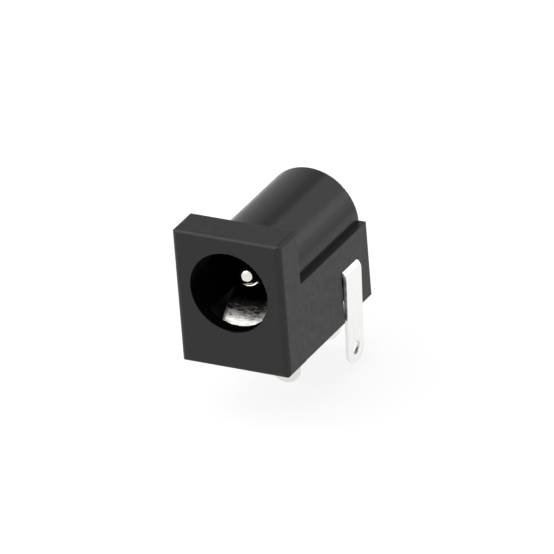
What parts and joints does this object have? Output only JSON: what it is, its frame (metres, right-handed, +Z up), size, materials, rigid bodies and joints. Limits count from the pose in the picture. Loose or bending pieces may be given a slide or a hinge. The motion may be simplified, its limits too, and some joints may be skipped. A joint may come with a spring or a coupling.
{
  "type": "dc barrel jack",
  "caption": "Board-mount DC power jack: black moulded housing with a round socket, centre pin, folded sleeve spring and side switch contact.",
  "frame": {"origin": "on the board's face, under the middle of the jack's front face", "axes": "+Z up from the board, +Y from the front face to the back, +X towards the side terminal"},
  "size_m": [0.0094, 0.0147, 0.016],
  "materials": {
    "black_moulding": "fine-grained black moulding",
    "plated_pin": "bright nickel plate",
    "plated_spring": "bright plated spring bronze with fine draw lines",
    "tinned_strip": "satin tin plate on punched brass strip"
  },
  "bodies": {
    "root": {"housing": "black_moulding", "centre_pin": "plated_pin", "sleeve_spring": "plated_spring", "side_contact": "tinned_strip", "rear_terminal": "tinned_strip"}
  },
  "joints": []
}
